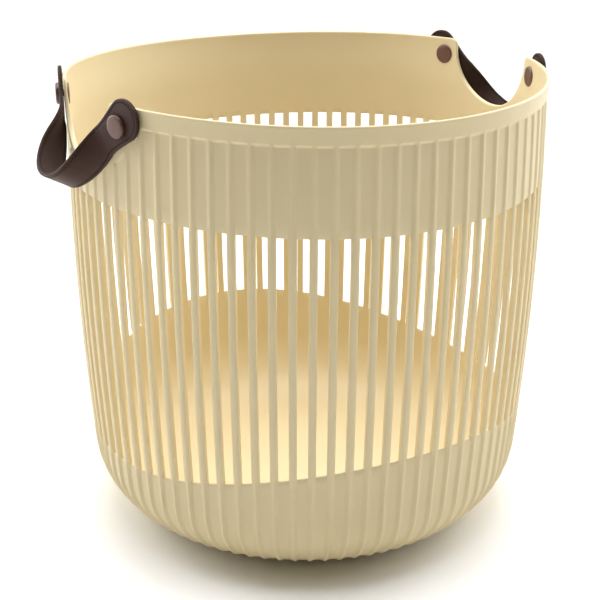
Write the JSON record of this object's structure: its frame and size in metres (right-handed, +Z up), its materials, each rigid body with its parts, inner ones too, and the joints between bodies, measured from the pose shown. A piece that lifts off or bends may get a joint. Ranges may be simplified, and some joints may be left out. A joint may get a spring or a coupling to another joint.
{
  "type": "slatted storage basket",
  "caption": "Round moulded storage basket with a slatted wall, a smooth scooped rim and two riveted strap handles that hang outside and swing up.",
  "frame": {"origin": "centre of the base, on the surface the basket stands on", "axes": "+Z up; the two handles lie on the X axis, left at -X and right at +X"},
  "size_m": [0.4694, 0.4034, 0.3978],
  "materials": {
    "basket_plastic": "satin cream moulding",
    "strap_face": "semi-gloss espresso brown, stitched along both edges",
    "strap_lining": "matt dark brown",
    "rivet": "brown lacquered rivet cap"
  },
  "bodies": {
    "root": {"rim_band": "basket_plastic", "band_ribs": "basket_plastic", "slats_right": "basket_plastic", "slats_back": "basket_plastic", "slats_left": "basket_plastic", "slats_front": "basket_plastic", "cup_right": "basket_plastic", "cup_back": "basket_plastic", "cup_left": "basket_plastic", "cup_front": "basket_plastic", "cup_ribs": "basket_plastic", "base_floor": "basket_plastic", "left_front_tab_face": "strap_face", "left_front_tab_lining": "strap_lining", "left_front_rivet_cap": "rivet", "left_front_rivet_post": "rivet", "left_back_tab_face": "strap_face", "left_back_tab_lining": "strap_lining", "left_back_rivet_cap": "rivet", "left_back_rivet_post": "rivet", "right_front_tab_face": "strap_face", "right_front_tab_lining": "strap_lining", "right_front_rivet_cap": "rivet", "right_front_rivet_post": "rivet", "right_back_tab_face": "strap_face", "right_back_tab_lining": "strap_lining", "right_back_rivet_cap": "rivet", "right_back_rivet_post": "rivet"},
    "left_handle": {"left_strap_face": "strap_face", "left_strap_lining": "strap_lining"},
    "right_handle": {"right_strap_face": "strap_face", "right_strap_lining": "strap_lining"}
  },
  "joints": [
    {"name": "left_handle_swing", "type": "hinge", "parent": "root", "child": "left_handle", "pos_m": [-0.2016, 0, 0.3727], "axis": [0, 1, 0], "range_deg": [0, 130]},
    {"name": "right_handle_swing", "type": "hinge", "parent": "root", "child": "right_handle", "pos_m": [0.2016, 0, 0.3727], "axis": [0, -1, 0], "range_deg": [0, 130]}
  ]
}
